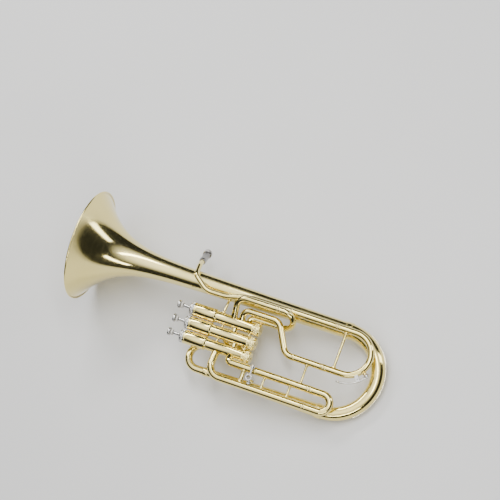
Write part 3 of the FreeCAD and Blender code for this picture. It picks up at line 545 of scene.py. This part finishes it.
VALVE_Z = 10.0
VALVE_YS = (-55.7, -84.0, -112.3)
CAP_X = 243.0
FOOT_X = 376.0
STEM_X = 221.0
BUTTON_X = 216.8
FELT_X = 224.05
SPRING_X = 258.7
SPRING_LENGTH = 31.6
SPRING_REACH = 7.05
SPRING_WIRE = 0.9
SPRING_TURNS = 6
SPRING_FACETS = 36
PORT_DEPTH = 10.8
VALVE_TUBE = 12.4
TUNING_TUBE = 13.0
THIRD_TUBE = 14.6


def knurl(work, low, high, radius, depth, gap):
    """Raise a pad on every facet of a turned band, so that the band grips."""
    band = []
    for face in work.faces:
        middle = face.calc_center_median()
        if (low < middle.x < high and abs(math.hypot(middle.y, middle.z) - radius) < 0.12
                and abs(face.normal.x) < 0.3):
            band.append(face)
    bmesh.ops.inset_individual(work, faces=band, thickness=gap, depth=depth, use_even_offset=True)


def build_valves():
    """Casings, caps, stems and finger buttons of the three piston valves."""
    for number, valve_y in enumerate(VALVE_YS, start=1):
        seat = (CAP_X, valve_y, VALVE_Z)
        casing = turn([(2.5, 10.0), (141, 10.0), (141, 11.1), (133, 11.1), (133, 11.5), (131.5, 12.0),
                       (129.5, 12.0), (128.5, 11.5), (56, 11.5), (54.6, 11.8), (53.6, 12.9),
                       (52.6, 13.85), (50.4, 13.85), (49.6, 13.55), (48.8, 13.7), (13, 13.7),
                       (12.4, 13.45), (11.8, 13.7), (9, 13.7), (9, 11.8), (2.5, 11.8)],
                      seat, steps=80, edge=0.18)
        make_brass(f"casing_{number}", [casing], f"valve_casing_{number}")
    caps = []
    feet = []
    for valve_y in VALVE_YS:
        cap = turn([(0, 3.7), (2.5, 3.7), (2.5, 11.85), (9, 11.85), (9, 12.7), (8.4, 13.3),
                    (7.9, 13.3), (7.9, 13.05), (3.0, 13.05), (3.0, 13.3), (2.2, 13.3), (0.9, 12.4),
                    (0.2, 11.2), (0.2, 9.6), (0.55, 9.3), (0.55, 8.6), (0.15, 8.3), (0.0, 5.2)],
                   steps=96, edge=0.0)
        knurl(cap, 3.2, 7.7, 13.05, 0.25, 0.14)
        soften(cap, 0.07, 40.0, 1)
        put(cap, (CAP_X, valve_y, VALVE_Z), ALONG)
        caps.append(cap)
        foot = turn([(0, 11.15), (8, 11.15), (8, 10), (12, 10), (12, 2), (14, 2), (14, 4.4),
                     (13.6, 4.7), (13.6, 7.9), (14, 8.2), (14, 10.2), (13.2, 11.6), (12.0, 12.3),
                     (10.8, 12.3), (10.6, 12.0), (9.8, 12.0), (9.6, 12.05), (2.4, 12.05),
                     (2.2, 12.3), (0.4, 12.3), (0, 12.0)], steps=96, edge=0.0)
        knurl(foot, 2.6, 9.4, 12.05, 0.22, 0.14)
        soften(foot, 0.07, 40.0, 1)
        put(foot, (FOOT_X, valve_y, VALVE_Z), ALONG)
        feet.append(foot)
    make_silver("top_caps", caps, "valve_top_caps")
    make_brass("bottom_caps", feet, "valve_bottom_caps")
    for number, valve_y in enumerate(VALVE_YS, start=1):
        body = f"valve_{number}"
        stem = turn([(0, 0), (35, 0), (35, 1.55), (32, 1.55), (32, 4.5), (30, 4.5), (30, 3.0), (3.05, 3.0),
                     (3.05, 1.8), (0, 1.8)], (STEM_X, valve_y, VALVE_Z), steps=48, edge=0.12)
        make_silver(f"stem_{number}", [stem], f"valve_stem_{number}", body)
        button = turn([(1.1, 0), (4.2, 0), (4.2, 1.85), (7.2, 1.85), (7.2, 3.3), (6.7, 3.9),
                       (6.0, 4.3), (5.2, 5.2), (4.9, 7.0), (4.5, 7.9), (3.9, 8.25), (1.2, 8.25),
                       (0.55, 8.05), (0.1, 7.5), (0.0, 6.9), (0.15, 6.3), (0.45, 5.6), (0.75, 4.6),
                       (0.95, 3.2), (1.07, 1.6)], (BUTTON_X, valve_y, VALVE_Z), steps=64, edge=0.0)
        make_silver(f"button_{number}", [button], f"finger_button_{number}", body, 50.0)
        washer = turn([(0, 3.1), (2.65, 3.1), (2.65, 5.6), (2.25, 6.0), (0.4, 6.0), (0, 5.6)],
                      (FELT_X, valve_y, VALVE_Z), steps=48, edge=0.15)
        make(f"felt_{number}", [washer], body, FELT, [f"button_felt_{number}"])


def post_outline(length, width, flare):
    """A brace post: a straight shank that swells into a rounded foot at each end."""
    shank = width / 2
    foot = shank * flare
    half = [(0.0, foot), (2.0, foot), (2.5, foot * 0.97), (3.0, shank + (foot - shank) * 0.55),
            (3.7, shank + (foot - shank) * 0.22), (4.6, shank + (foot - shank) * 0.06), (5.6, shank)]
    other = [(length - along, radius) for along, radius in reversed(half)]
    return [(0.0, 0.0)] + half + other + [(length, 0.0)]


def post(start, end, width, flare=1.8):
    """One brace post between two tubes."""
    way = Vector(end) - Vector(start)
    return turn(post_outline(way.length, width, flare), start, way, 40, 0.0)


def port(number, height, towards):
    """Where a tube leaves a casing's wall, on its way from the valve's axis towards a point."""
    axis = Vector((height, VALVE_YS[number - 1], VALVE_Z))
    return axis + (Vector(towards) - axis).normalized() * PORT_DEPTH


def build_springs():
    """The springs under the pistons' heads, drawn at one length, though the real ones shorten as the valves
    go down.
    """
    steps = SPRING_TURNS * SPRING_FACETS
    rise = SPRING_LENGTH / steps
    for number, valve_y in enumerate(VALVE_YS, start=1):
        coil = bmesh.new()
        seat = Matrix.Translation((SPRING_X, valve_y + SPRING_REACH, VALVE_Z))
        ring = bmesh.ops.create_circle(coil, cap_ends=False, segments=12, radius=SPRING_WIRE / 2,
                                       matrix=seat)["verts"]
        bmesh.ops.spin(coil, geom=ring + rim_of(ring), cent=(SPRING_X, valve_y, VALVE_Z), axis=ALONG,
                       dvec=(rise, 0, 0), angle=SPRING_TURNS * 2 * math.pi, steps=steps)
        close_ends(coil)
        spring = make(f"spring_{number}", [coil], "horn", SPRING_STEEL,
                      [f"valve_spring_{number}"])
        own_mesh(spring)


def build_valve_joints():
    """The short tubes and posts that hold the three casings together."""
    knuckles = [draw_tube([port(index + 1, height, (height, VALVE_YS[index + 1], VALVE_Z)),
                           port(index + 2, height, (height, VALVE_YS[index], VALVE_Z))], [],
                          (VALVE_TUBE, VALVE_TUBE), TUBE_WALL, 40)
                for index, height in enumerate((340, 350))]
    make_brass("knuckle_tubes", knuckles, "valve_knuckles")
    posts = []
    for index in (0, 1):
        for height in (315, 371):
            posts.append(post((height, VALVE_YS[index] - 8.3, VALVE_Z),
                              (height, VALVE_YS[index + 1] + 8.3, VALVE_Z), 4.6, 1.5))
    make_brass("casing_posts", posts, "valve_posts")


# ---------------------------------------------------------------- tubing

TUNING_Z = 24.5
TUNING_UPPER_Y = -3.2
TUNING_LOWER_Y = -85.5
TUNING_SEAM = 532.0
TUNING_BEND_X = 570.0
UPPER_LEG_X = 438.0
LOWER_LEG_X = 470.0
INLET_Y = -28.6
FIRST_FRONT = (-9.5, 39.5)
FIRST_REAR = (-36.5, 8.0)
FIRST_SEAM = 414.0
SECOND_YS = (-73.0, -95.0)
SECOND_Z = -11.5
SECOND_SEAM = 362.0
THIRD_UPPER_Y = -133.0
THIRD_LOWER_Y = -168.0
THIRD_Z = 22.5
THIRD_SEAM = 520.0
CROOK_X = 269.0
CROOK_Y = -113.3
CROOK_Z = -11.5
RING_LENGTH = 5.0


def seam_ring(x, y, z, width, length=RING_LENGTH, proud=0.45):
    """A turned end ring round the mouth of a slide tube."""
    bore = width / 2 + 0.01
    outline = [(0, bore), (length, bore), (length, bore + proud * 0.6), (length - 0.5, bore + proud),
               (length - 1.5, bore + proud), (length - 1.9, bore + proud * 0.55), (1.0, bore + proud * 0.55),
               (0, bore + 0.12)]
    return turn(outline, (x, y, z), ALONG, 56, 0.0)


def build_mouthpipe():
    """The receiver with its ring, and the tapering pipe over the bell into the tuning slide."""
    mouth = Vector((220, 64, -42))
    away = Vector((-9, 35, -52)).normalized()
    foot = mouth - away * 47
    receiver = turn([(0, 4.82), (10, 4.82), (10, 4.1), (21, 5.5), (47, 5.5), (47, 7.3), (43, 7.3),
                     (42.4, 7.1), (36, 7.05), (35.5, 7.25), (34.5, 7.25), (34, 7.0), (8, 6.7),
                     (6.8, 6.9), (5.6, 6.9), (4.8, 6.4), (1.2, 6.0), (0, 5.9)], foot, away, 64, 0.1)
    # The receiver's nickel is darkened with painted shade.
    make("receiver_tube", [receiver], "horn", NICKEL_PAINTED_SHADE, ["receiver"])
    ring = turn([(0, 7.35), (7, 7.35), (7, 6.1), (9, 6.9), (9, 7.75), (8.4, 8.5), (7.7, 8.55),
                 (7.7, 8.5), (1.6, 8.5), (1.6, 8.6), (0.8, 8.75), (0, 7.9)], steps=72, edge=0.0)
    knurl(ring, 1.7, 7.6, 8.5, 0.22, 0.12)
    put(ring, mouth - away * 7, away)
    # The collar's nickel is darkened with painted shade as well.
    make("receiver_collar", [ring], "horn", NICKEL_PAINTED_SHADE, ["receiver_ring"])
    pipe = draw_tube([foot + away * 9.5, foot - away * 18, (235, 5.5, 30.5), (264, -16.5, 26),
                      (304, -15.5, 24.5), (350, TUNING_UPPER_Y, TUNING_Z),
                      (UPPER_LEG_X, TUNING_UPPER_Y, TUNING_Z)],
                     [14, 13, 30, 90, 120], (9.4, TUNING_TUBE), TUBE_WALL, 48, 3.0)
    make_brass("mouthpipe", [pipe], "leadpipe")


def build_tuning_legs():
    """The tuning slide's outer legs, and the S-shaped pipe from the lower one into the first valve."""
    for name, node, start, y in (
        ("tuning_leg_upper", "tuning_outer_upper", UPPER_LEG_X, TUNING_UPPER_Y),
        ("tuning_leg_lower", "tuning_outer_lower", LOWER_LEG_X, TUNING_LOWER_Y),
    ):
        leg = draw_tube([(start, y, TUNING_Z), (TUNING_SEAM, y, TUNING_Z)], [], (TUNING_TUBE, TUNING_TUBE))
        rings = [seam_ring(TUNING_SEAM - 6.0, y, TUNING_Z, TUNING_TUBE, 6.0),
                 seam_ring(start - 3.0, y, TUNING_Z, TUNING_TUBE, 6.0, 0.4)]
        make_brass(name, [leg] + rings, node)
    inlet = draw_tube([(LOWER_LEG_X, TUNING_LOWER_Y, TUNING_Z), (454, TUNING_LOWER_Y, TUNING_Z),
                       (421, INLET_Y, TUNING_Z), (348, INLET_Y, TUNING_Z),
                       port(1, 348, (348, INLET_Y, TUNING_Z))], [22, 22, 14], (TUNING_TUBE, VALVE_TUBE))
    make_brass("inlet_pipe", [inlet], "valve_inlet")


def build_valve_legs():
    """The outer legs of the three valve slides and the branch out of the third valve."""
    for name, node, height, leg, bend in (
        ("first_leg_front", "first_outer_front", 332, FIRST_FRONT, 20),
        ("first_leg_rear", "first_outer_rear", 362, FIRST_REAR, 7.4),
    ):
        tube = draw_tube([port(1, height, (height, *leg)), (height, *leg), (FIRST_SEAM, *leg)], [bend],
                         (VALVE_TUBE, VALVE_TUBE))
        make_brass(name, [tube, seam_ring(FIRST_SEAM - RING_LENGTH, *leg, VALVE_TUBE)], node)
    legs = []
    for height, y in zip((312, 326), SECOND_YS):
        legs.append(draw_tube([port(2, height, (height, y, SECOND_Z)), (height, y, SECOND_Z),
                               (SECOND_SEAM, y, SECOND_Z)], [11], (VALVE_TUBE, VALVE_TUBE)))
        legs.append(seam_ring(SECOND_SEAM - RING_LENGTH, y, SECOND_Z, VALVE_TUBE))
    make_brass("second_legs", legs, "second_outer_legs")
    for name, node, height, y, bend in (
        ("third_leg_upper", "third_outer_upper", 352, THIRD_UPPER_Y, 10),
        ("third_leg_lower", "third_outer_lower", 322, THIRD_LOWER_Y, 26),
    ):
        tube = draw_tube([port(3, height, (height, y, THIRD_Z)), (height, y, THIRD_Z),
                          (THIRD_SEAM, y, THIRD_Z)], [bend], (THIRD_TUBE, THIRD_TUBE))
        make_brass(name, [tube, seam_ring(THIRD_SEAM - RING_LENGTH, y, THIRD_Z, THIRD_TUBE)], node)
    bend = draw_tube([port(3, 336, (336, CROOK_Y, CROOK_Z)), (336, CROOK_Y, CROOK_Z),
                      (CROOK_X, CROOK_Y, CROOK_Z), (CROOK_X, BRANCH_Y, 0), (BRANCH_X, BRANCH_Y, 0)],
                     [10, 25, 25], (VALVE_TUBE, BRANCH_NARROW), TUBE_WALL, 48, 3.0)
    sleeve = turn([(0, 8.05), (9, 8.05), (9, 8.5), (8.2, 8.9), (0.8, 8.9), (0, 8.5)],
                  (BRANCH_X - 4, BRANCH_Y, 0), ALONG, 56, 0.12)
    make_brass("branch_crook", [bend, sleeve], "branch_bend")


def slide(name, leg_a, leg_b, seam, bend_x, inside, width):
    """A pull-out slide: its plated inner legs, which reach a length inside the outer ones, and the
    crook that joins them, whose bend starts at bend_x.
    """
    body = name + "_slide"
    inner = width - 1.3
    legs = [draw_tube([(seam - inside, *leg), (seam + 6, *leg)], [], (inner, inner), 0.55)
            for leg in (leg_a, leg_b)]
    make(name + "_legs", legs, body, LAPPED_NICKEL, [name + "_inner_legs"])
    spread = math.dist(leg_a, leg_b)
    turn_x = bend_x + spread / 2
    crook = draw_tube([(seam + 0.4, *leg_a), (turn_x, *leg_a), (turn_x, *leg_b), (seam + 0.4, *leg_b)],
                      [spread / 2 - NEAR_FULL] * 2, (width, width), TUBE_WALL, 48, 3.0)
    rings = [seam_ring(seam + 0.4, *leg, width) for leg in (leg_a, leg_b)]
    make_brass(name + "_bow", [crook] + rings, name + "_crook", body)


def build_slides():
    """The four slides that pull out, and the tuning slide's brace."""
    slide("tuning", (TUNING_UPPER_Y, TUNING_Z), (TUNING_LOWER_Y, TUNING_Z), TUNING_SEAM, TUNING_BEND_X,
          60.0, TUNING_TUBE)
    slide("first", FIRST_FRONT, FIRST_REAR, FIRST_SEAM, 426.0, 45.0, VALVE_TUBE)
    slide("second", (SECOND_YS[0], SECOND_Z), (SECOND_YS[1], SECOND_Z), SECOND_SEAM, 367.0, 22.0, VALVE_TUBE)
    slide("third", (THIRD_UPPER_Y, THIRD_Z), (THIRD_LOWER_Y, THIRD_Z), THIRD_SEAM, 550.0, 90.0, THIRD_TUBE)
    brace = post((551, TUNING_UPPER_Y - 5.6, TUNING_Z), (551, TUNING_LOWER_Y + 5.6, TUNING_Z), 5.2)
    make_brass("slide_brace", [brace], "tuning_brace", "tuning_slide")


def build_braces():
    """The posts between the third slide's legs, and those that tie slides, bell and branch together."""
    thirds = [post((height, -138.6, THIRD_Z), (height, -162.4, THIRD_Z), width, 1.35)
              for height, width in ((389, 8.4), (432, 4.6), (484, 4.6))]
    make_brass("third_posts", thirds, "third_slide_posts")
    stays = [post((501, TUNING_LOWER_Y - 5, TUNING_Z), (501, -128, THIRD_Z), 4.6)]
    stays += [post((height, BRANCH_Y, 4), (height, THIRD_LOWER_Y, 18.5), 6, 1.3) for height in (372, 504)]
    stays.append(post((308, -16, 5), (308, VALVE_YS[0] + 9.5, VALVE_Z), 5))
    stays.append(post((500, -2.4, 13), (500, TUNING_UPPER_Y, 21), 6, 1.3))
    make_brass("stay_posts", stays, "horn_braces")


# ---------------------------------------------------------------- water key and lyre holder

def off_crook(degrees, distance):
    """A point beside the tuning slide's bend, by the angle round from its lower leg and the distance
    out from the tube's middle.
    """
    angle = math.radians(degrees)
    reach = (TUNING_UPPER_Y - TUNING_LOWER_Y) / 2 + distance
    return (Vector((TUNING_BEND_X, (TUNING_UPPER_Y + TUNING_LOWER_Y) / 2, TUNING_Z))
            + Vector((math.sin(angle), -math.cos(angle), 0)) * reach)


def build_water_key():
    """The water key: its nipple on the slide, and the lever with the cup that holds the cork."""
    foot, tip = off_crook(56, 6.0), off_crook(56, 10.6)
    away = tip - foot
    nipple = turn([(0, 2.5), (4.6, 2.5), (4.6, 3.2), (4.2, 3.5), (1.6, 3.5), (0.6, 4.2), (0, 4.6)],
                  foot, away, 40, 0.1)
    make_brass("drain_nipple", [nipple], "water_key_nipple", "tuning_slide")
    cup = turn([(2.6, 0), (6.2, 0), (6.2, 2.2), (5.4, 3.6), (4.4, 5.0), (1.6, 5.0), (1.2, 4.8), (1.2, 4.3),
                (2.6, 4.3)], tip, away, 48, 0.15)
    pivot = off_crook(37, 12.0)
    hub = turn([(0, 0), (4.4, 0), (4.4, 2.2), (4.0, 2.6), (0.4, 2.6), (0, 2.2)],
               pivot - Vector((0, 0, 3.2)), (0, 0, 1), 36, 0.0)
    web = turn([(0, 0), (3.3, 0), (3.3, 1.5), (0, 1.5)], pivot, off_crook(37, 15.3) - pivot, 24, 0.0)
    arm = draw_tube([off_crook(57.3, 16.4), off_crook(37, 15.9), off_crook(15, 17.5), off_crook(-3, 17.0)],
                    [40, 60], (3.4, 3.4), 0.0, 28, 2.0)
    close_ends(arm)
    touch = turn([(-1.4, 0), (1.4, 0), (1.4, 2.4), (1.1, 3.3), (0.5, 3.75), (-0.5, 3.75), (-1.1, 3.3),
                  (-1.4, 2.4)], off_crook(-3, 17.0), (0, 1, 0), 40, 0.0)
    make_silver("drain_lever", [cup, hub, web, arm, touch], "water_key_lever", "water_key")


def build_lyre_holder():
    """The lyre's drilled socket on the third slide and its thumbscrew."""
    centre = Vector((406, -150.5, 13))
    barrel = turn([(0, 4.2), (27, 4.2), (27, 6.2), (26.4, 6.8), (24.2, 6.8), (23.7, 6.5), (3.3, 6.5),
                   (2.8, 6.8), (0.6, 6.8), (0, 6.2)], centre, (0, 0, 1), 56, 0.12)
    foot = post((406, -155.4, THIRD_Z), (406, -161.6, THIRD_Z), 7, 1.25)
    make_silver("lyre_socket", [barrel, foot], "lyre_holder")
    screw = turn([(0, 0), (20, 0), (20, 3.4), (19.4, 4.2), (18.9, 4.35), (18.7, 4.35), (15.0, 4.35),
                  (14.8, 4.5), (14.2, 4.3), (13.6, 3.4), (13.6, 2.4), (11, 2.4), (11, 1.6), (0, 1.6)],
                 steps=48, edge=0.0)
    knurl(screw, 15.1, 18.6, 4.35, 0.2, 0.1)
    put(screw, (406, -145.8, 35.5), (0, 1, 0))
    make_silver("lyre_thumbscrew", [screw], "lyre_screw", "lyre_screw")


build_bell()
build_bottom_bow()
build_guard()
build_valves()
build_springs()
build_valve_joints()
build_mouthpipe()
build_tuning_legs()
build_valve_legs()
build_slides()
build_braces()
build_water_key()
build_lyre_holder()


# ---------------------------------------------------------------- floor, light and camera

def build_studio():
    """A pale floor and soft boxes, large enough to give long clean highlights on the tubes."""
    mesh = bpy.data.meshes.new("studio_floor")
    work = bmesh.new()
    bmesh.ops.create_grid(work, x_segments=1, y_segments=1, size=8.0)
    work.to_mesh(mesh)
    work.free()
    floor = bpy.data.objects.new("studio_floor", mesh)
    bpy.context.scene.collection.objects.link(floor)
    material, nodes, links, shader = new_material("pale_floor")
    place = nodes.new("ShaderNodeTexCoord").outputs["Object"]
    mottle = noise(nodes, links, place, 3.0)
    links.new(mix_colour(nodes, links, mottle, (0.76, 0.76, 0.755), (0.80, 0.80, 0.795)),
              shader.inputs["Base Color"])
    shader.inputs["Roughness"].default_value = 0.8
    mesh.materials.append(material)

    world = bpy.data.worlds.new("studio")
    world.use_nodes = True
    nodes, links = world.node_tree.nodes, world.node_tree.links
    heading = nodes.new("ShaderNodeSeparateXYZ")
    links.new(nodes.new("ShaderNodeTexCoord").outputs["Generated"], heading.inputs["Vector"])
    ceiling = ramp(nodes, links, heading.outputs["Z"], 0.60, 0.99)
    ceiling = math_node(nodes, links, "POWER", ceiling, 1.3)
    links.new(mix_colour(nodes, links, ceiling, (0.012, 0.013, 0.015), (1.0, 0.99, 0.97)),
              nodes["Background"].inputs["Color"])
    nodes["Background"].inputs["Strength"].default_value = 2.4
    bpy.context.scene.world = world

    for name, spot, aim, width, depth, power in (
        ("key_box", (-1.1, 1.0, 1.5), (0.0, 0.0, 0.05), 1.2, 0.35, 22.0),
        ("top_strip", (0.35, 0.35, 1.7), (0.0, 0.0, 0.05), 1.5, 0.2, 13.0),
        ("fill_box", (0.9, -1.4, 1.1), (0.0, 0.0, 0.05), 1.4, 0.25, 12.0),
        ("rim_box", (1.5, 1.1, 0.7), (0.1, 0.0, 0.05), 0.35, 1.2, 8.0),
    ):
        data = bpy.data.lights.new(name, "AREA")
        data.shape = "RECTANGLE"
        data.size = width
        data.size_y = depth
        data.energy = power
        lamp = bpy.data.objects.new(name, data)
        bpy.context.scene.collection.objects.link(lamp)
        lamp.location = spot
        lamp.rotation_euler = (Vector(aim) - Vector(spot)).to_track_quat("-Z", "Y").to_euler()


def build_camera():
    """The viewpoint: the horn's front, seen square to the plane of its tubes and leaned over."""
    towards = Vector((0.27, -0.17, 0.948)).normalized()
    along = Vector((0.963, 0.0, 0.0))
    lean = math.radians(18.0)
    centre = LAY_DOWN @ ((Vector((291.0, 101.0, -65.0)) + towards * 80.0) * MM)
    distance = 4.0
    laid_way = LAY_DOWN.to_3x3()
    back = (laid_way @ towards).normalized()
    level = laid_way @ (along - towards * along.dot(towards))
    level.normalize()
    up = back.cross(level)
    right = level * math.cos(lean) + up * math.sin(lean)
    above = back.cross(right)
    camera_data = bpy.data.cameras.new("camera")
    camera_data.lens = 149.2
    camera_data.sensor_width = 36.0
    camera = bpy.data.objects.new("camera", camera_data)
    bpy.context.scene.collection.objects.link(camera)
    pose = Matrix((right, above, back)).transposed().to_4x4()
    pose.translation = centre + back * distance
    camera.matrix_world = pose
    bpy.context.scene.camera = camera


build_studio()
build_camera()
